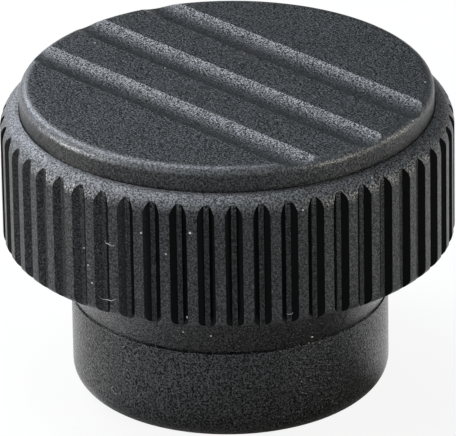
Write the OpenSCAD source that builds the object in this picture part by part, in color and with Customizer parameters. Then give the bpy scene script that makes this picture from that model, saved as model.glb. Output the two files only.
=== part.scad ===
// Fluted control knob: a moulded body with a hub, a snap-in cap with three
// grooves, and a threaded brass bush moulded into the hub.
// Millimetres. The knob stands on its hub: the origin is the centre of the
// hub's end face, +Z is the axis, and the cap's grooves run along X.

/* [Head] */
// Diameter over the lands between the flutes
head_d = 50; // [46:0.5:64]
// Height of the head, from its underside to the top of its rounding
head_h = 15.3; // [14:0.1:22]
// Radius of the rounded shoulder round the cap
shoulder_r = 2.3; // [1.8:0.1:4]
// Width of the shoulder that shows round the cap
shoulder_w = 2.1; // [1.6:0.1:2.6]
// Rounding of the head's lower edge
head_edge_r = 1; // [0.4:0.1:2]

/* [Flutes] */
// Number of flutes round the head
flute_count = 52; // [30:1:60]
// Depth of a flute
flute_depth = 0.57; // [0.3:0.01:0.8]
// Width of a flute at its mouth
flute_mouth_w = 1.95; // [1.3:0.05:2.1]
// Width of a flute at its floor
flute_floor_w = 0.55; // [0.3:0.05:1.2]
// Turn of the flutes against the cap's grooves, in degrees
flute_turn = -0.9; // [-3:0.1:3]

/* [Hub] */
// Diameter of the hub
hub_d = 35.2; // [30:0.1:37]
// Height of the hub below the neck
hub_h = 10.7; // [8:0.1:16]
// Height of the neck between the hub and the head
neck_h = 6.7; // [4:0.1:10]
// Step from the hub in to the neck
neck_step = 0.2; // [0.05:0.01:0.4]
// How far the neck flares out on its way up to the head
neck_flare = 3.2; // [0.5:0.1:3.6]
// Fillet between the neck and the head's underside
neck_fillet_r = 1.3; // [0.5:0.1:1.5]
// Rounding of the hub's lower edge
hub_edge_r = 2.4; // [0.5:0.1:3]

/* [Seat of the cap] */
// Width of the ledge that the cap rests on
ledge_w = 1.2; // [0.8:0.1:1.6]
// Depth of the ledge below the top of the head
ledge_depth = 1.6; // [1.2:0.1:2.4]

/* [Cap] */
// Height of the cap, from the ledge to its top face
cap_h = 4.35; // [4:0.05:7]
// Rounding of the cap's rim
cap_rim_r = 1.1; // [0.3:0.1:1.6]
// Thickness of the cap's plate
cap_plate_t = 3; // [1.8:0.1:3.4]
// Number of grooves across the cap
groove_count = 3; // [1:2:5]
// Distance between the middles of two grooves
groove_pitch = 9; // [6:0.1:12]
// Width of a groove
groove_w = 4.2; // [2:0.1:5.5]
// Depth of a groove
groove_depth = 0.5; // [0.3:0.05:0.8]
// Number of tongues that hold the cap
tongue_count = 6; // [3:1:8]
// Length of a tongue below the ledge
tongue_l = 3.6; // [3:0.1:5]
// Thickness of a tongue
tongue_t = 1.5; // [1:0.1:2]
// Width of the slot between two tongues
tongue_slot_w = 3; // [2:0.5:6]
// Height of the bead that stands out from a tongue
bead_d = 0.35; // [0.2:0.05:0.5]
// Length of the bead along the axis
bead_l = 1.4; // [1:0.1:1.8]

/* [Bush] */
// Diameter of the bush over its knurl
bush_d = 14; // [13:0.5:15]
// Length of the bush
bush_l = 20; // [16:0.5:22]
// Diameter of the collar at the mouth
collar_d = 15.4; // [15:0.1:17]
// Thickness of the collar
collar_t = 1.6; // [1:0.1:2.5]
// Number of teeth in the knurl
knurl_count = 24; // [16:1:36]
// Depth of the knurl
knurl_depth = 0.4; // [0.2:0.05:0.6]
// Width of the ring groove that anchors the bush
anchor_w = 3; // [1.5:0.5:5]
// Depth of the ring groove below the knurl's roots
anchor_depth = 0.6; // [0.3:0.1:0.8]
// Diameter of the hole before threading
thread_hole_d = 8.5; // [6.8:0.1:8.8]
// Depth of the hole, to the start of the drill point
thread_hole_l = 17; // [12:0.5:17]
// Chamfer at the mouth of the hole
thread_chamfer = 0.9; // [0.5:0.1:1.2]

/* [Clearances] */
// Gap between the cap's wall and the head, the seam that shows
seam_gap = 0.08; // [0.05:0.01:0.25]
// Gap between a tongue and the bore
tongue_gap = 0.12; // [0.05:0.01:0.25]
// Gap round the bead in its groove
bead_gap = 0.1; // [0.05:0.01:0.2]
// Gap between the boss and the cap's plate
plate_gap = 0.3; // [0.2:0.1:1]
// Gap behind the tongues, which lets them bend in as they snap home
bend_gap = 0.6; // [0.5:0.1:1]
// Gap below the ends of the tongues
tongue_end_gap = 0.6; // [0.3:0.1:1.5]

/* [Hidden] */
$fn = 120;

// How far a cutter passes the face that it cuts
over = 1;
// How far a piece of a section reaches into its neighbour
bite = 0.4;
// Full angle of a drill point
drill_point_angle = 118;

head_r = head_d / 2;
hub_r = hub_d / 2;
neck_r = hub_r - neck_step;
neck_top_r = neck_r + neck_flare;
// Angle that the neck's side leans out from upright
neck_lean = atan(neck_flare / neck_h);
bush_r = bush_d / 2;
collar_r = collar_d / 2;
thread_hole_r = thread_hole_d / 2;

head_z = hub_h + neck_h;
head_top_z = head_z + head_h;
ledge_z = head_top_z - ledge_depth;
cap_top_z = ledge_z + cap_h;
plate_z = cap_top_z - cap_plate_t;

mouth_r = head_r - shoulder_w;
bore_r = mouth_r - ledge_w;

cap_r = mouth_r - seam_gap;
tongue_out_r = bore_r - tongue_gap;
tongue_in_r = tongue_out_r - tongue_t;
tongue_end_z = ledge_z - tongue_l;
bead_z = tongue_end_z + bead_l / 2;

boss_r = tongue_in_r - bend_gap;
boss_top_z = plate_z - plate_gap;
channel_floor_z = tongue_end_z - tongue_end_gap;

// Radius of the round cutter that leaves a groove of this width and depth
groove_r = (groove_w * groove_w / 4 + groove_depth * groove_depth) / (2 * groove_depth);

knurl_root_r = bush_r - knurl_depth;
anchor_r = knurl_root_r - anchor_depth;
anchor_z = (collar_t + bush_l) / 2;
drill_point_h = thread_hole_r / tan(drill_point_angle / 2);

// What a rounding of radius r takes off an outer corner at the origin,
// where the material lies towards -x and -y
module corner_off(r) {
    difference() {
        translate([-r, -r])
            square(r + over);
        translate([-r, -r])
            circle(r);
    }
}

// What a fillet of radius r adds in an inner corner at the origin, between a
// flat underside towards +x and a wall that leans out to it by lean degrees
module corner_in(r, lean) {
    tangent = r * tan((90 - lean) / 2);
    foot_x = -tangent * sin(lean);
    foot_y = -tangent * cos(lean);
    difference() {
        polygon([
            [foot_x - bite, foot_y],
            [foot_x, foot_y],
            [tangent, -r],
            [tangent, bite],
            [foot_x - bite, bite]
        ]);
        translate([tangent, -r])
            circle(r);
    }
}

// Half section of the head before the flutes are cut
module head_section() {
    difference() {
        translate([0, head_z])
            square([head_r, head_h]);
        translate([head_r, head_top_z])
            corner_off(shoulder_r);
        translate([head_r, head_z])
            mirror([0, 1])
                corner_off(head_edge_r);
    }
}

// Half section of the hub and the neck above it
module hub_section() {
    difference() {
        square([hub_r, hub_h]);
        translate([hub_r, 0])
            mirror([0, 1])
                corner_off(hub_edge_r);
    }
    polygon([
        [0, hub_h - bite],
        [neck_r, hub_h - bite],
        [neck_r, hub_h],
        [neck_top_r, head_z],
        [neck_top_r, head_z + bite],
        [0, head_z + bite]
    ]);
    translate([neck_top_r, head_z])
        corner_in(neck_fillet_r, neck_lean);
}

// Profile of the snap bead, swollen by gap for the groove that it sits in
module bead_section(gap = 0) {
    polygon([
        [tongue_out_r - bite, bead_z - bead_l / 2 - gap],
        [tongue_out_r, bead_z - bead_l / 2 - gap],
        [tongue_out_r + bead_d + gap, bead_z],
        [tongue_out_r, bead_z + bead_l / 2 + gap],
        [tongue_out_r - bite, bead_z + bead_l / 2 + gap]
    ]);
}

// Half section of what is open under the cap: its seat, and below that the
// bore that the tongues snap into
module seat_section() {
    translate([0, ledge_z])
        square([mouth_r, ledge_depth + over]);
    translate([0, channel_floor_z])
        square([bore_r, ledge_z - channel_floor_z + over]);
    bead_section(bead_gap);
}

// Half section of the boss that stands in the bore and backs up the cap's plate
module boss_section() {
    translate([0, channel_floor_z - bite])
        square([boss_r, boss_top_z - channel_floor_z + bite]);
}

// One flute's cutter, straight along the axis so that it runs out through
// the shoulder as an arch, with its sides carried on past the lands
module flute() {
    side_slope = (flute_mouth_w - flute_floor_w) / (2 * flute_depth);
    half_floor = flute_floor_w / 2;
    half_outer = half_floor + side_slope * (flute_depth + over);
    floor_r = head_r - flute_depth;
    translate([0, 0, head_z - over])
        linear_extrude(head_h + 2 * over)
            polygon([
                [floor_r, -half_floor],
                [head_r + over, -half_outer],
                [head_r + over, half_outer],
                [floor_r, half_floor]
            ]);
}

// Outside of the bush, which is also the shape of its bed in the moulding
module bush_blank() {
    tooth_step = 360 / knurl_count;
    cylinder(h = collar_t, r = collar_r);
    cylinder(h = bush_l, r = anchor_r);
    for (end_z = [[0, anchor_z - anchor_w / 2], [anchor_z + anchor_w / 2, bush_l]])
        translate([0, 0, end_z[0]])
            linear_extrude(end_z[1] - end_z[0])
                polygon([
                    for (i = [0 : knurl_count - 1])
                        for (half = [0, 1])
                            let (a = (i + half / 2) * tooth_step, r = half == 0 ? bush_r : knurl_root_r)
                                [r * cos(a), r * sin(a)]
                ]);
}

module knob_body() {
    color([0.15, 0.15, 0.16])
        difference() {
            rotate_extrude() {
                difference() {
                    union() {
                        head_section();
                        hub_section();
                    }
                    seat_section();
                }
                boss_section();
            }
            for (k = [0 : flute_count - 1])
                rotate(flute_turn + k * 360 / flute_count)
                    flute();
            bush_blank();
        }
}

module top_cap() {
    color([0.2, 0.2, 0.21])
        difference() {
            rotate_extrude() {
                difference() {
                    translate([0, ledge_z])
                        square([cap_r, cap_h]);
                    translate([cap_r, cap_top_z])
                        corner_off(cap_rim_r);
                    translate([0, ledge_z - over])
                        square([tongue_in_r, plate_z - ledge_z + over]);
                }
                translate([tongue_in_r, tongue_end_z])
                    square([tongue_t, tongue_l + bite]);
                bead_section();
            }
            for (k = [0 : tongue_count - 1])
                rotate(k * 360 / tongue_count)
                    translate([0, -tongue_slot_w / 2, tongue_end_z - over])
                        cube([mouth_r, tongue_slot_w, tongue_l + over]);
            for (k = [0 : groove_count - 1])
                translate([0, (k - (groove_count - 1) / 2) * groove_pitch, cap_top_z - groove_depth + groove_r])
                    rotate([0, 90, 0])
                        cylinder(h = 2 * head_r, r = groove_r, center = true);
        }
}

module threaded_bush() {
    color([0.78, 0.6, 0.28])
        difference() {
            bush_blank();
            translate([0, 0, -over])
                cylinder(h = thread_hole_l + over, r = thread_hole_r);
            translate([0, 0, thread_hole_l])
                cylinder(h = drill_point_h, r1 = thread_hole_r, r2 = 0);
            translate([0, 0, -over])
                cylinder(h = thread_chamfer + over, r1 = thread_hole_r + thread_chamfer + over, r2 = thread_hole_r);
        }
}

knob_body();
top_cap();
threaded_bush();
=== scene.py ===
"""Looks of the fluted control knob: finishes, the bush's thread, lint, light and camera.

All lengths are in metres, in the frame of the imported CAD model. Values with a name that
ends in _PX are measured in the reference picture, which is 456 pixels wide and 436 high.
Azimuths other than the camera's own are counted from it, and all angles are in degrees.
"""

import math
import random

import bmesh
import bpy
from mathutils import Matrix, Vector


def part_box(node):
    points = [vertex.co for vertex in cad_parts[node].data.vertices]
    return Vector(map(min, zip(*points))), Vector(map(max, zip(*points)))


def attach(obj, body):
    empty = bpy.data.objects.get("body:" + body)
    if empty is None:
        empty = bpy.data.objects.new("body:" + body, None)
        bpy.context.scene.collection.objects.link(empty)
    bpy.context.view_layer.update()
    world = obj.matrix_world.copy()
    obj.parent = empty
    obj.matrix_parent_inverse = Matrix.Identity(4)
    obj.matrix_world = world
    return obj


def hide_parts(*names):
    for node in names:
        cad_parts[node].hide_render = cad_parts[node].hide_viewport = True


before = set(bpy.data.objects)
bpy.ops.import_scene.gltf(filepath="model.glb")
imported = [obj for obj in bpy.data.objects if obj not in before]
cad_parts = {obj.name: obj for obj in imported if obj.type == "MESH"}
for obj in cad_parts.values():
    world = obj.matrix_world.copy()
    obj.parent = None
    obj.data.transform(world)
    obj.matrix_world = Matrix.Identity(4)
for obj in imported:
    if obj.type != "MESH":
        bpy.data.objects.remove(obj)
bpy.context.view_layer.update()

MM = 0.001
WHITE = (1, 1, 1, 1)

# Sizes that the finishes follow, the same as in the CAD model
HEAD_R = 25.0 * MM
FLUTE_DEPTH = 0.57 * MM
SHOULDER_R = 2.3 * MM
HEAD_Z = 17.4 * MM
HEAD_TOP_Z = 32.7 * MM
CAP_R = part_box("top_cap")[1].x
RIM_RADIUS = 1.1 * MM


# ---------------------------------------------------------------------------------------
# Camera: a long lens, looking down at the knob from its front left
# ---------------------------------------------------------------------------------------

PICTURE_W_PX = 456
PICTURE_H_PX = 436
SCALE_PX_PER_MM = 9.035
CAMERA_AZIMUTH = 46.35
CAMERA_ELEVATION = 25.4
CAMERA_ROLL = 0.965
CAMERA_DISTANCE = 0.8
CAMERA_CLIP = (0.01, 50)
AIM_Z = 18.83 * MM
AIM_RIGHT = -0.08 * MM
SENSOR_W = 36.0


def azimuth_vectors(azimuth, elevation):
    """Unit vectors towards the viewer, to the right and up, for a view from that angle."""
    a, e = math.radians(azimuth), math.radians(elevation)
    back = Vector((math.sin(a) * math.cos(e), -math.cos(a) * math.cos(e), math.sin(e)))
    right = Vector((math.cos(a), math.sin(a), 0))
    return back, right, back.cross(right)


def towards(azimuth, elevation=0):
    """Unit vector from the knob towards that side, its azimuth counted from the camera's."""
    return azimuth_vectors(CAMERA_AZIMUTH + azimuth, elevation)[0]


def add_camera():
    """The camera of the picture, set as the scene's own."""
    back, right, up = azimuth_vectors(CAMERA_AZIMUTH, CAMERA_ELEVATION)
    data = bpy.data.cameras.new("photo_camera")
    data.sensor_width = SENSOR_W
    data.lens = SCALE_PX_PER_MM * SENSOR_W * CAMERA_DISTANCE / MM / PICTURE_W_PX
    data.clip_start, data.clip_end = CAMERA_CLIP
    camera = bpy.data.objects.new("photo_camera", data)
    bpy.context.scene.collection.objects.link(camera)
    aim = Vector((0, 0, AIM_Z)) + right * AIM_RIGHT
    turn = Matrix((right, up, back)).transposed().to_4x4()
    roll = Matrix.Rotation(math.radians(-CAMERA_ROLL), 4, "Z")
    camera.matrix_world = Matrix.Translation(aim + back * CAMERA_DISTANCE) @ turn @ roll
    bpy.context.scene.camera = camera
    return camera


# ---------------------------------------------------------------------------------------
# Node trees
# ---------------------------------------------------------------------------------------


class Shader:
    """A short way to build the node tree of a material or a world.

    Each call adds a node, sets or links its inputs, and returns the output that is asked
    for. An input is a number, a colour, a vector or the output of another node.
    """

    def __init__(self, owner):
        owner.use_nodes = True
        self.owner = owner
        self.tree = owner.node_tree
        self.tree.nodes.clear()

    def node(self, kind, inputs=(), **settings):
        """A node of that kind, for the few that need more than one of their outputs."""
        node = self.tree.nodes.new("ShaderNode" + kind)
        for key, value in settings.items():
            setattr(node, key, value)
        for key, value in dict(inputs).items():
            if isinstance(value, bpy.types.NodeSocket):
                self.tree.links.new(value, node.inputs[key])
            else:
                node.inputs[key].default_value = value
        return node

    def add(self, kind, inputs=(), out=0, **settings):
        return self.node(kind, inputs, **settings).outputs[out]

    def math(self, operation, a, b=0.0):
        return self.add("Math", {0: a, 1: b}, operation=operation)

    def chain(self, operation, first, *others):
        """The same operation on two or more values, one after the other."""
        for other in others:
            first = self.math(operation, first, other)
        return first

    def plus(self, *values):
        return self.chain("ADD", *values)

    def minus(self, a, b):
        return self.math("SUBTRACT", a, b)

    def times(self, *values):
        return self.chain("MULTIPLY", *values)

    def most(self, *values):
        return self.chain("MAXIMUM", *values)

    def vector(self, operation, a, b=(0, 0, 0), out="Vector"):
        return self.add("VectorMath", {0: a, 1: b}, out, operation=operation)

    def split(self, vector):
        """The x, y and z of a vector."""
        return tuple(self.node("SeparateXYZ", {0: vector}).outputs)

    def mix(self, share, colour, other):
        """Two colours mixed: all of the first where share is 0, of the second where it is 1."""
        return self.add("Mix", {0: share, 6: colour, 7: other}, out=2, data_type="RGBA")

    def ramp(self, value, low, high, to_low=0.0, to_high=1.0):
        """Moves value from the range low..high to to_low..to_high, smoothly and clamped."""
        return self.add(
            "MapRange",
            {
                "Value": value,
                "From Min": low,
                "From Max": high,
                "To Min": to_low,
                "To Max": to_high,
            },
            interpolation_type="SMOOTHSTEP",
        )

    def noise(self, where, size, detail=2.0, roughness=0.5, seed=0.0):
        """Noise from 0 to 1 with features about size metres across; seed shifts it."""
        shifted = self.vector("ADD", where, (seed, seed * 1.7, -seed))
        return self.add(
            "TexNoise",
            {"Vector": shifted, "Scale": 1.0 / size, "Detail": detail, "Roughness": roughness},
        )

    def mirrored_ray(self, light_path):
        """1 for the rays that metal, gloss and glass send out, 0 for all others."""
        return self.most(light_path["Is Glossy Ray"], light_path["Is Transmission Ray"])

    def finish(self, surface, output="OutputMaterial"):
        self.node(output, {"Surface": surface})
        return self.owner


def grey(value, blue=0.0):
    """A near neutral colour of that linear value, slightly cool if blue is above 0."""
    return (value * (1 - blue / 2), value, value * (1 + blue), 1)


# ---------------------------------------------------------------------------------------
# Black moulded plastic
# ---------------------------------------------------------------------------------------

# Colours: in the pits and on the tops of the grain, of the pale bloom that is also painted
# highlight, and of single painted glints
PLASTIC_BLACK = grey(0.0008, 0.08)
PLASTIC_GREY = grey(0.005, 0.08)
PLASTIC_BLOOM_AND_HIGHLIGHT = grey(0.15, 0.06)
PLASTIC_GLINT = grey(0.13, 0.06)

# Roughness, how far it differs from place to place, and what full polish takes off it
PLASTIC_ROUGHNESS = 0.36
ROUGHNESS_SPREAD = 0.03
POLISH_SHARE = 0.55
PLASTIC_IOR = 1.5

# Sizes of the noises: the spark-eroded grain, the speckle on it, the mottling, the glints
GRAIN_SIZE = 0.32 * MM
SPECKLE_SIZE = 0.2 * MM
BLOTCH_SIZE = 3.0 * MM
GLINT_SIZE = 0.15 * MM

# The ranges of those noises that count, and how they are mixed
SPARK_RANGE = (0.42, 0.60)
PALE_SPECKLE_RANGE = (0.35, 0.62)
PALE_SPECKLE_LEAST = 0.35
GLINT_RANGE = (0.7, 0.78)
BLOTCH_RANGE = (0.3, 0.7)
BLOTCH_SHARE = 0.2
SPECKLE_HEIGHT = 0.5
SHEEN_LEAST = 0.05
SHEEN_WITHOUT_GRAIN = 0.45

# Depth of the grain, and the rounding that the finish gives to sharp edges
BODY_GRAIN_DEPTH = 0.10 * MM
CAP_GRAIN_DEPTH = 0.07 * MM
BODY_EDGE_RADIUS = 0.12 * MM
CAP_EDGE_RADIUS = 0.2 * MM
EDGE_SAMPLES = 6


def plastic(name, grain_depth, edge_radius, zones):
    """Black plastic: grain as bump, speckled sheen, mottled colour, a pale bloom that is also
    painted highlight, painted shade and painted glints.

    zones is a function of the shader and the position. It returns how smooth the surface
    is there, from 0 for full grain to 1 for none, how much painted shade it has, which
    takes off sheen, from 0 for its full sheen to 1 for none, how polished, from 0 for its
    usual roughness to 1 for the lowest, and how much of a pale bloom and painted highlight
    it has, from 0 to 1.
    """
    s = Shader(bpy.data.materials.new(name))
    where = s.add("TexCoord", out="Object")
    smooth, painted_shade, polished, bloom_and_highlight = zones(s, where)
    grain = s.minus(1.0, smooth)
    coarse = s.noise(where, GRAIN_SIZE, detail=2.0, roughness=0.6)
    speckle = s.noise(where, SPECKLE_SIZE, detail=3.0, roughness=0.6, seed=0.3)
    blotch = s.noise(where, BLOTCH_SIZE, detail=3.0, roughness=0.55, seed=0.7)
    sparse = s.noise(where, GLINT_SIZE, detail=0.0, seed=0.9)

    height = s.times(s.plus(coarse, s.times(speckle, SPECKLE_HEIGHT)), grain)
    rounded = s.add("Bevel", {"Radius": edge_radius}, samples=EDGE_SAMPLES)
    bump = s.add(
        "Bump", {"Strength": 1.0, "Distance": grain_depth, "Height": height, "Normal": rounded}
    )

    spark = s.times(s.ramp(speckle, *SPARK_RANGE), grain)
    shine = s.plus(spark, s.times(smooth, SHEEN_WITHOUT_GRAIN))
    tint = s.plus(s.times(shine, 1 - BLOTCH_SHARE), s.times(blotch, BLOTCH_SHARE))
    # Painted highlight: pale speckled colour on the shoulder and the cap's rim; on the hub a faint
    # pale bloom
    speckled_bloom_and_highlight = s.times(bloom_and_highlight, s.ramp(speckle, *PALE_SPECKLE_RANGE, PALE_SPECKLE_LEAST, 1.0))
    glint = s.times(s.ramp(sparse, *GLINT_RANGE), grain)
    colour = s.mix(tint, PLASTIC_BLACK, PLASTIC_GREY)
    colour = s.mix(speckled_bloom_and_highlight, colour, PLASTIC_BLOOM_AND_HIGHLIGHT)
    colour = s.mix(glint, colour, PLASTIC_GLINT)

    lowest, highest = PLASTIC_ROUGHNESS - ROUGHNESS_SPREAD, PLASTIC_ROUGHNESS + ROUGHNESS_SPREAD
    usual = s.ramp(blotch, *BLOTCH_RANGE, lowest, highest)
    sheen = s.plus(SHEEN_LEAST, s.times(shine, 1 - SHEEN_LEAST))
    return s.finish(
        s.add(
            "BsdfPrincipled",
            {
                "Base Color": colour,
                "Roughness": s.times(usual, s.minus(1.0, s.times(polished, POLISH_SHARE))),
                # Painted shade: the zones' painted shade takes off sheen
                "Specular IOR Level": s.times(sheen, s.minus(1.0, painted_shade)),
                "Normal": bump,
                "IOR": PLASTIC_IOR,
            },
        )
    )


# The lit side of the knob, where highlights are painted, and the stretch along which they grow
# towards it
LIT_SIDE = -50
HIGHLIGHT_RANGE = (-0.2 * HEAD_R, 0.9 * HEAD_R)
HIGHLIGHT_LEAST = 0.1

# Hub and neck, up to just below the head
HUB_TOP_Z = HEAD_Z - 0.2 * MM
HUB_SMOOTH = 0.15
# Painted shade: a little of the hub's sheen is taken off, for the shade under the head
HUB_PAINTED_SHADE = 0.1
HUB_POLISH = 0.85
HUB_BLOOM = 0.012

# The head's fluted rim, with the lands below its rounded shoulder
RIM_INNER_R = HEAD_R - 2 * FLUTE_DEPTH
LAND_RANGE = (HEAD_TOP_Z - 0.4 * SHOULDER_R, HEAD_TOP_Z - SHOULDER_R)
LAND_SMOOTH = 0.4

# Sides of the flutes, told by how far they turn from straight outwards, and their floors;
# both carry painted shade, which takes off sheen, the sides less of it on the lit flank
FLUTE_SIDE_RANGE = (0.2, 0.5)
FLUTE_SIDE_PAINTED_SHADE = 0.93
LIT_FLANK_RANGE = (0.83 * HEAD_R, 0.96 * HEAD_R)
LIT_FLANK_SHARE = 0.6
FLUTE_FLOOR_RANGE = (HEAD_R - 0.55 * FLUTE_DEPTH, HEAD_R - 0.9 * FLUTE_DEPTH)
FLUTE_FLOOR_PAINTED_SHADE = 0.4

# The top half of the head, where what faces up has a painted highlight in a pale colour
HIGHLIGHT_BOTTOM_Z = HEAD_Z + 0.5 * (HEAD_TOP_Z - HEAD_Z)
HIGHLIGHT_FACING_UP = (0.1, 0.75)

# The cap's smoother wall, and its rounded rim with a band of painted highlight between wall and top
CAP_WALL_RANGE = (CAP_R - 1.3 * RIM_RADIUS, CAP_R - 0.6 * RIM_RADIUS)
CAP_WALL_SMOOTH = 0.4
CAP_RIM_R = CAP_R - 1.2 * RIM_RADIUS
RIM_ABOVE_WALL = (0.05, 0.5)
RIM_BEFORE_TOP = (0.99, 0.9)
RIM_PAINTED_HIGHLIGHT = 0.75


def axis_distance(s, x, y):
    """Distance from the knob's axis."""
    return s.math("SQRT", s.plus(s.times(x, x), s.times(y, y)))


def towards_lit_side(s, x, y):
    """How far a place lies from the axis towards the lit side, where highlights are painted."""
    side = towards(LIT_SIDE)
    return s.plus(s.times(x, side.x), s.times(y, side.y))


def painted_highlight_share(s, way, full):
    """Share of painted highlight at a place that lies that way towards the lit side, up to full."""
    return s.ramp(way, *HIGHLIGHT_RANGE, HIGHLIGHT_LEAST, full)


def body_zones(s, where):
    """The hub is more polished than the head, and the lands have less grain than the rest.

    The sides of the flutes are smooth and carry painted shade, less of it where a highlight
    is painted on the lit flank; the flute floors and the hub carry some painted shade too,
    and the shoulder has a pale painted highlight, most of it on the lit side, and the hub a
    faint pale bloom.
    """
    x, y, z = s.split(where)
    normal_x, normal_y, normal_z = s.split(s.add("NewGeometry", out="True Normal"))
    radius = axis_distance(s, x, y)
    way = towards_lit_side(s, x, y)
    # How far the surface turns from facing straight outwards, from -1 to 1; the least
    # radius keeps the axis itself from dividing by zero
    across = s.minus(s.times(normal_y, x), s.times(normal_x, y))
    turned = s.math("DIVIDE", across, s.most(radius, MM))

    on_hub = s.math("LESS_THAN", z, HUB_TOP_Z)
    on_rim = s.math("GREATER_THAN", radius, RIM_INNER_R)
    on_land = s.times(s.ramp(z, *LAND_RANGE), on_rim)
    on_floor = s.times(s.ramp(radius, *FLUTE_FLOOR_RANGE), on_land)
    on_side = s.times(s.ramp(s.math("ABSOLUTE", turned), *FLUTE_SIDE_RANGE), on_rim)
    # Painted highlight: on the flank towards the lit side, flute sides turned one way get less
    # painted shade, so they look lit
    lit_flank = s.times(s.ramp(turned, *FLUTE_SIDE_RANGE), s.ramp(way, *LIT_FLANK_RANGE), on_rim)
    on_side = s.minus(on_side, s.times(lit_flank, LIT_FLANK_SHARE))
    on_top = s.math("GREATER_THAN", z, HIGHLIGHT_BOTTOM_Z)
    facing_up = s.ramp(normal_z, *HIGHLIGHT_FACING_UP)

    smooth = s.most(s.times(on_hub, HUB_SMOOTH), s.times(on_land, LAND_SMOOTH), on_side)
    # Painted shade: sheen taken off the flute sides and floors, where shade falls in the flutes,
    # and a little off the hub
    painted_shade = s.most(
        s.times(on_side, FLUTE_SIDE_PAINTED_SHADE),
        s.times(on_floor, FLUTE_FLOOR_PAINTED_SHADE),
        s.times(on_hub, HUB_PAINTED_SHADE),
    )
    polished = s.most(on_side, s.times(on_hub, HUB_POLISH))
    # Painted highlight: pale colour on what faces up on the top half of the head, most on the lit
    # side; the hub's faint share is a pale bloom
    bloom_and_highlight = s.most(s.times(facing_up, painted_highlight_share(s, way, 1.0), on_top), s.times(on_hub, HUB_BLOOM))
    return smooth, painted_shade, polished, bloom_and_highlight


def cap_zones(s, where):
    """The cap's wall has less grain, and its rounded rim a band of painted highlight in a pale
    colour.
    """
    x, y, _ = s.split(where)
    _, _, normal_z = s.split(s.add("NewGeometry", out="True Normal"))
    radius = axis_distance(s, x, y)
    smooth = s.ramp(radius, *CAP_WALL_RANGE, 0.0, CAP_WALL_SMOOTH)
    band = s.times(s.ramp(normal_z, *RIM_ABOVE_WALL), s.ramp(normal_z, *RIM_BEFORE_TOP))
    on_rim = s.math("GREATER_THAN", radius, CAP_RIM_R)
    # Painted highlight: a pale band on the rim between wall and top, most on the lit side
    bloom_and_highlight = s.times(band, on_rim, painted_highlight_share(s, towards_lit_side(s, x, y), RIM_PAINTED_HIGHLIGHT))
    return smooth, 0.0, 0.0, bloom_and_highlight


# ---------------------------------------------------------------------------------------
# Brass and lint
# ---------------------------------------------------------------------------------------

BRASS_CLEAN = (0.72, 0.51, 0.20, 1)
BRASS_STAINED = (0.56, 0.38, 0.15, 1)
BRASS_ROUGHNESS = (0.22, 0.38)
STAIN_SIZE = 2.5 * MM
STAIN_COLOUR_RANGE = (0.35, 0.7)
STAIN_ROUGHNESS_RANGE = (0.3, 0.7)
TOOL_MARK_SIZE = 0.5 * MM
TOOL_MARK_STRETCH = (1, 1, 14)
TOOL_MARK_DEPTH = 0.02 * MM
TOOL_MARK_STRENGTH = 0.4

LINT_GREY = (0.42, 0.43, 0.46, 1)
LINT_PALE = (0.62, 0.63, 0.66, 1)
LINT_ROUGHNESS = 0.9
LINT_PATCH_SIZE = 0.6 * MM
LINT_FUZZ_SIZE = 0.05 * MM
LINT_FUZZ_DEPTH = 0.01 * MM
LINT_FUZZ_STRENGTH = 0.5


def brass():
    """Turned brass: fine tool marks round the axis, with darker and duller stains."""
    s = Shader(bpy.data.materials.new("turned_brass"))
    where = s.add("TexCoord", out="Object")
    stretched = s.add("Mapping", {"Vector": where, "Scale": TOOL_MARK_STRETCH})
    marks = s.noise(stretched, TOOL_MARK_SIZE)
    stain = s.noise(where, STAIN_SIZE, detail=3.0, roughness=0.6, seed=0.4)
    bump = s.add(
        "Bump", {"Strength": TOOL_MARK_STRENGTH, "Distance": TOOL_MARK_DEPTH, "Height": marks}
    )
    return s.finish(
        s.add(
            "BsdfPrincipled",
            {
                "Base Color": s.mix(
                    s.ramp(stain, *STAIN_COLOUR_RANGE), BRASS_CLEAN, BRASS_STAINED
                ),
                "Metallic": 1.0,
                "Roughness": s.ramp(stain, *STAIN_ROUGHNESS_RANGE, *BRASS_ROUGHNESS),
                "Normal": bump,
            },
        )
    )


def lint_white():
    """Pale fibres and dust, slightly mottled."""
    s = Shader(bpy.data.materials.new("lint"))
    where = s.add("TexCoord", out="Object")
    patches = s.noise(where, LINT_PATCH_SIZE, seed=0.9)
    fuzz = s.noise(where, LINT_FUZZ_SIZE, detail=1.0)
    bump = s.add(
        "Bump", {"Strength": LINT_FUZZ_STRENGTH, "Distance": LINT_FUZZ_DEPTH, "Height": fuzz}
    )
    colour = s.mix(patches, LINT_GREY, LINT_PALE)
    return s.finish(
        s.add("BsdfPrincipled", {"Base Color": colour, "Roughness": LINT_ROUGHNESS, "Normal": bump})
    )


# ---------------------------------------------------------------------------------------
# Pieces
# ---------------------------------------------------------------------------------------

MERGE_DISTANCE = 1e-7


def paint(obj, material):
    obj.data.materials.clear()
    obj.data.materials.append(material)


def new_piece(name, verts, faces, material):
    """A piece of the visual model that rides on the knob, from points and faces."""
    mesh = bpy.data.meshes.new(name)
    mesh.from_pydata(verts, [], faces)
    build = bmesh.new()
    build.from_mesh(mesh)
    bmesh.ops.remove_doubles(build, verts=build.verts, dist=MERGE_DISTANCE)
    bmesh.ops.recalc_face_normals(build, faces=build.faces)
    build.to_mesh(mesh)
    build.free()
    obj = bpy.data.objects.new(name, mesh)
    bpy.context.scene.collection.objects.link(obj)
    paint(obj, material)
    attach(obj, "root")
    return obj


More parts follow.
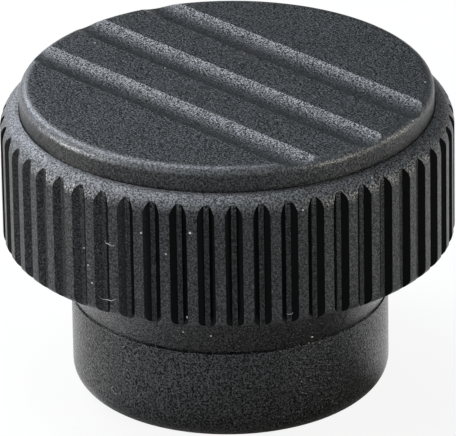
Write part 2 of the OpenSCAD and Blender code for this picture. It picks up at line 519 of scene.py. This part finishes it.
# The bush: its outside is the CAD model's, and its hole has an M10 thread and ends in a
# 118 degree drill point
BUSH_R = 7.0 * MM
BUSH_L = 20.0 * MM
COLLAR_R = 7.7 * MM
COLLAR_T = 1.6 * MM
KNURL_COUNT = 24
KNURL_ROOT_R = BUSH_R - 0.4 * MM
ANCHOR_R = KNURL_ROOT_R - 0.6 * MM
ANCHOR_W = 3.0 * MM
ANCHOR_Z = (COLLAR_T + BUSH_L) / 2
THREAD_PITCH = 1.5 * MM
THREAD_ROOT_R = 5.0 * MM
THREAD_CREST_R = 4.25 * MM
THREAD_END_Z = 15.0 * MM
HOLE_END_Z = 17.0 * MM
DRILL_TIP_Z = 19.554 * MM
DRILL_TIP_R = 0.02 * THREAD_CREST_R
CHAMFER_R = THREAD_CREST_R + 0.9 * MM

# Widths of the thread's flats at root and crest, as shares of its pitch
ROOT_FLAT = 1 / 8
CREST_FLAT = 1 / 4
FLANK = (1 - ROOT_FLAT - CREST_FLAT) / 2

STEPS_ROUND = 144
STEPS_PER_PITCH = 12


def thread_radius(z, turn):
    """Radius of the threaded hole's wall at that height and angle, as a share of a turn."""
    phase = (z / THREAD_PITCH - turn) % 1.0
    rise = min(1.0, max(0.0, (abs(phase - 0.5) - ROOT_FLAT / 2) / FLANK))
    depth = min(1.0, max(0.0, (THREAD_END_Z - z) / THREAD_PITCH))
    threaded = THREAD_CREST_R + (THREAD_ROOT_R - THREAD_CREST_R) * (1 - rise) * depth
    return max(threaded, CHAMFER_R - z)


def bush_wall(turn):
    """Section of the bush at that angle, from the drill point's tip round to the back."""
    tooth = (turn * KNURL_COUNT) % 1.0
    knurl_r = BUSH_R + (KNURL_ROOT_R - BUSH_R) * (1 - abs(2 * tooth - 1))
    low, high = ANCHOR_Z - ANCHOR_W / 2, ANCHOR_Z + ANCHOR_W / 2
    rows = round(HOLE_END_Z / THREAD_PITCH * STEPS_PER_PITCH)
    heights = [HOLE_END_Z * (1 - i / rows) for i in range(rows + 1)]
    hole = [(DRILL_TIP_R, DRILL_TIP_Z)]
    hole += [(thread_radius(z, turn), z) for z in heights]
    collar = [(COLLAR_R, 0), (COLLAR_R, COLLAR_T)]
    knurl = [
        (knurl_r, COLLAR_T),
        (knurl_r, low),
        (ANCHOR_R, low),
        (ANCHOR_R, high),
        (knurl_r, high),
        (knurl_r, BUSH_L),
    ]
    return hole + collar + knurl


def add_bush(material):
    """The brass bush with its thread, which stands for the CAD model's plain one."""
    verts, faces = [], []
    for i in range(STEPS_ROUND):
        turn = i / STEPS_ROUND
        angle = 2 * math.pi * turn
        section = bush_wall(turn)
        verts += [(r * math.cos(angle), r * math.sin(angle), z) for r, z in section]
    rows = len(section)
    for i in range(STEPS_ROUND):
        a, b = i * rows, (i + 1) % STEPS_ROUND * rows
        faces += [(a + k, b + k, b + k + 1, a + k + 1) for k in range(rows - 1)]
    faces.append([i * rows for i in range(STEPS_ROUND)])
    faces.append([i * rows + rows - 1 for i in range(STEPS_ROUND)])
    bush = new_piece("bush_with_thread", verts, faces, material)
    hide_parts("threaded_bush")


# Fibres, as seen in the picture: both ends, and the bend as a share of the length
FIBRES_PX = [
    ((99, 296), (116, 299), 0.16),
    ((105, 240), (115, 245), 0.22),
    ((287, 313), (293, 312), 0.3),
    ((113, 386), (117, 394), 0.25),
]
FIBRE_R = 0.035 * MM
FIBRE_TIP_SHARE = 0.3
FIBRE_WAVE_SHARE = 0.25
FIBRE_STEPS = 14
FIBRE_SIDES = 6

# Specks of dust, as seen in the picture: their middles, and their widths in millimetres
SPECKS_PX = [
    (141, 233, 0.3),
    (166, 254, 0.26),
    (84, 248, 0.26),
    (88, 265, 0.24),
    (92, 283, 0.24),
    (190, 233, 0.3),
    (303, 210, 0.26),
    (372, 178, 0.24),
    (187, 317, 0.26),
    (183, 332, 0.24),
    (312, 337, 0.28),
    (309, 343, 0.24),
    (211, 336, 0.22),
    (95, 43, 0.26),
    (165, 68, 0.26),
    (366, 128, 0.26),
    (413, 121, 0.24),
    (425, 82, 0.24),
]
SPECK_CORNERS = 9
SPECK_RAGGED = (0.6, 1.15)
SPECK_RISE_SHARE = 0.3
SPECK_SINK_SHARE = 0.1
LINT_SEED = 7


def seen_point(camera, x, y):
    """The point of the knob that the picture shows at that pixel, with its normal there."""
    data = camera.data
    across = (x - PICTURE_W_PX / 2) / PICTURE_W_PX * data.sensor_width
    down = (y - PICTURE_H_PX / 2) / PICTURE_W_PX * data.sensor_width
    ray = camera.matrix_world.to_3x3() @ Vector((across, -down, -data.lens)).normalized()
    start = camera.matrix_world.translation
    nearest = None
    for node in ("knob_body", "top_cap"):
        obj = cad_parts[node]
        inverse = obj.matrix_world.inverted()
        local_ray = (inverse.to_3x3() @ ray).normalized()
        hit, point, normal, _ = obj.ray_cast(inverse @ start, local_ray)
        if hit:
            point = obj.matrix_world @ point
            normal = (obj.matrix_world.to_3x3() @ normal).normalized()
            if nearest is None or (point - start).length < (nearest[0] - start).length:
                nearest = (point, normal)
    return nearest


def tube(points, normals, radius):
    """A thin round thread along the points, thinner towards both ends."""
    verts, faces = [], []
    last = len(points) - 1
    for i, (point, normal) in enumerate(zip(points, normals)):
        along = points[min(i + 1, last)] - points[max(i - 1, 0)]
        side = along.cross(normal).normalized()
        up = side.cross(along).normalized()
        thick = radius * (FIBRE_TIP_SHARE + (1 - FIBRE_TIP_SHARE) * math.sin(math.pi * i / last))
        for k in range(FIBRE_SIDES):
            a = 2 * math.pi * k / FIBRE_SIDES
            verts.append(point + (side * math.cos(a) + up * math.sin(a)) * thick)
    for i in range(last):
        for k in range(FIBRE_SIDES):
            a, b = i * FIBRE_SIDES + k, i * FIBRE_SIDES + (k + 1) % FIBRE_SIDES
            faces.append((a, b, b + FIBRE_SIDES, a + FIBRE_SIDES))
    faces.append(list(range(FIBRE_SIDES)))
    faces.append([last * FIBRE_SIDES + k for k in range(FIBRE_SIDES)])
    return verts, faces


def add_fibre(camera, number, start, end, bend, material):
    """A wavy fibre that lies on what the picture shows under it."""
    (x0, y0), (x1, y1) = start, end
    across, down = x1 - x0, y1 - y0
    points, normals = [], []
    for i in range(FIBRE_STEPS + 1):
        t = i / FIBRE_STEPS
        wave = FIBRE_WAVE_SHARE * bend * math.sin(3 * math.pi * t)
        sag = bend * math.sin(math.pi * t) + wave
        found = seen_point(camera, x0 + across * t - down * sag, y0 + down * t + across * sag)
        if found:
            point, normal = found
            points.append(point + normal * FIBRE_R)
            normals.append(normal)
    verts, faces = tube(points, normals, FIBRE_R)
    new_piece(f"lint_fibre_{number}", verts, faces, material)


def add_specks(camera, material):
    """Flat ragged flakes of dust, each sitting on the surface under it."""
    chance = random.Random(LINT_SEED)
    verts, faces = [], []
    for x, y, width_mm in SPECKS_PX:
        found = seen_point(camera, x, y)
        if not found:
            continue
        point, normal = found
        width = width_mm * MM
        side = normal.orthogonal().normalized()
        other = normal.cross(side)
        first = len(verts)
        top, bottom = first + SPECK_CORNERS, first + SPECK_CORNERS + 1
        for k in range(SPECK_CORNERS):
            a = 2 * math.pi * k / SPECK_CORNERS
            reach = width / 2 * chance.uniform(*SPECK_RAGGED)
            verts.append(point + (side * math.cos(a) + other * math.sin(a)) * reach)
        verts.append(point + normal * width * SPECK_RISE_SHARE)
        verts.append(point - normal * width * SPECK_SINK_SHARE)
        for k in range(SPECK_CORNERS):
            a, b = first + k, first + (k + 1) % SPECK_CORNERS
            faces += [(a, b, top), (b, a, bottom)]
    new_piece("dust_specks", verts, faces, material)


# ---------------------------------------------------------------------------------------
# Lamps, surroundings and floor
# ---------------------------------------------------------------------------------------

LAMP_AIM = Vector((0, 0, 20 * MM))
LAMP_DISTANCE = 0.7
COOL = (0.86, 0.91, 1.0)
NEUTRAL = (1.0, 1.0, 1.0)
WARM = (1.0, 0.95, 0.85)

# Cool softboxes over and behind the knob, and small low panels for its flanks: the name,
# azimuth, elevation, half angle, radiance and colour of each
LAMPS = [
    ("top_softbox", -135, 80, 10, 8.0, COOL),
    ("key_softbox", -135, 56, 13, 4.0, COOL),
    ("back_softbox", -150, 30, 13, 6.8, COOL),
    ("side_softbox", -90, 56, 13, 3.8, NEUTRAL),
    ("left_panel", -90, 8, 9, 26.0, NEUTRAL),
    ("front_right_panel", 60, 8, 9, 12.0, WARM),
    ("right_panel", 102, 8, 9, 7.0, WARM),
]


def add_softbox(name, azimuth, elevation, half_angle, radiance, colour):
    """A square soft lamp that shines on the knob from that direction.

    Seen from the knob it spans twice half_angle. Its power follows from its radiance,
    where 1 is plain white.
    """
    direction = towards(azimuth, elevation)
    side = 2 * LAMP_DISTANCE * math.tan(math.radians(half_angle))
    data = bpy.data.lights.new(name, "AREA")
    data.shape = "SQUARE"
    data.size = side
    data.energy = radiance * math.pi * side * side
    data.color = colour
    lamp = bpy.data.objects.new(name, data)
    bpy.context.scene.collection.objects.link(lamp)
    lamp.location = LAMP_AIM + direction * LAMP_DISTANCE
    lamp.rotation_euler = direction.to_track_quat("Z", "Y").to_euler()


# Strength of the white surroundings for diffuse light, and as the object mirrors them: all
# round, behind it as seen from the camera, and low behind it
AMBIENT = 0.05
MIRRORED_ROOM = 1.0
MIRRORED_BEHIND = 0.5
MIRRORED_LOW_BEHIND = 0.15
MIRRORED_TINT = (0.84, 0.93, 1.0, 1)

# Where the dimmer part lies: the cosine of the turn from straight behind, and elevations
BEHIND_RANGE = (0.55, 0.85)
LOW_ELEVATIONS = (15, 27)
MIDDLE_ELEVATIONS = (38, 52)


def below(s, height, elevations):
    """1 for directions under the first of two elevations, 0 over the second."""
    low, high = (math.sin(math.radians(elevation)) for elevation in elevations)
    return s.ramp(height, low, high, 1.0, 0.0)


def add_world():
    """White for the camera; the object mirrors a white room with a dimmer side behind it."""
    world = bpy.data.worlds.new("studio")
    bpy.context.scene.world = world
    s = Shader(world)
    light_path = s.node("LightPath").outputs
    direction = s.add("TexCoord", out="Generated")
    level = s.vector("NORMALIZE", s.vector("MULTIPLY", direction, (1, 1, 0)))
    behind = s.ramp(s.vector("DOT_PRODUCT", level, -towards(0), out="Value"), *BEHIND_RANGE)
    height = s.split(direction)[2]
    dimmer = s.plus(
        s.times(below(s, height, LOW_ELEVATIONS), MIRRORED_LOW_BEHIND - MIRRORED_BEHIND),
        s.times(below(s, height, MIDDLE_ELEVATIONS), MIRRORED_BEHIND - MIRRORED_ROOM),
    )
    room = s.plus(MIRRORED_ROOM, s.times(behind, dimmer))
    mirrored = s.mirrored_ray(light_path)
    unseen = s.plus(s.times(mirrored, room), s.times(s.minus(1.0, mirrored), AMBIENT))
    seen = light_path["Is Camera Ray"]
    surroundings = s.add(
        "Background",
        {"Color": s.mix(seen, MIRRORED_TINT, WHITE), "Strength": s.most(seen, unseen)},
    )
    s.finish(surroundings, "OutputWorld")


# How much of the floor's look is plain white, for the camera and for mirrored rays; the
# rest is lit, and keeps the knob's shadow. The floor that the knob mirrors in front is dark
FLOOR_WHITE_SEEN = 0.9
FLOOR_WHITE_IN_FRONT = 0.02
FLOOR_WHITE_BESIDE = 0.95
FLOOR_FRONT_TURN = 10
FLOOR_FRONT_RANGE = (0.5, 0.1)
FLOOR_COLOUR = grey(0.9)
FLOOR_HALF = 3.0
FLOOR_GAP = 0.02 * MM


def floor_white():
    """White floor, part plain white and part lit, by the kind of ray that meets it."""
    s = Shader(bpy.data.materials.new("floor_white"))
    light_path = s.node("LightPath").outputs
    outward = s.vector("NORMALIZE", s.add("TexCoord", out="Object"))
    facing = s.vector("DOT_PRODUCT", outward, towards(FLOOR_FRONT_TURN), out="Value")
    mirrored = s.ramp(facing, *FLOOR_FRONT_RANGE, FLOOR_WHITE_IN_FRONT, FLOOR_WHITE_BESIDE)
    share = s.plus(
        s.times(light_path["Is Camera Ray"], FLOOR_WHITE_SEEN),
        s.times(s.mirrored_ray(light_path), mirrored),
    )
    lit = s.add("BsdfDiffuse", {"Color": FLOOR_COLOUR})
    white = s.add("Emission", {"Color": WHITE, "Strength": 1.0})
    return s.finish(s.add("MixShader", {0: share, 1: lit, 2: white}))


def add_floor():
    """A wide floor just under the hub's end."""
    mesh = bpy.data.meshes.new("floor")
    corners = [(-1, -1), (1, -1), (1, 1), (-1, 1)]
    verts = [(x * FLOOR_HALF, y * FLOOR_HALF, -FLOOR_GAP) for x, y in corners]
    mesh.from_pydata(verts, [], [(0, 1, 2, 3)])
    floor = bpy.data.objects.new("floor", mesh)
    bpy.context.scene.collection.objects.link(floor)
    paint(floor, floor_white())


def main():
    bpy.context.scene.view_settings.view_transform = "Standard"
    camera = add_camera()
    for lamp in LAMPS:
        add_softbox(*lamp)
    add_world()
    add_floor()
    body = plastic("body_plastic", BODY_GRAIN_DEPTH, BODY_EDGE_RADIUS, body_zones)
    cap = plastic("cap_plastic", CAP_GRAIN_DEPTH, CAP_EDGE_RADIUS, cap_zones)
    paint(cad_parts["knob_body"], body)
    paint(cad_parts["top_cap"], cap)
    add_bush(brass())
    lint = lint_white()
    for number, (start, end, bend) in enumerate(FIBRES_PX, 1):
        add_fibre(camera, number, start, end, bend, lint)
    add_specks(camera, lint)


main()
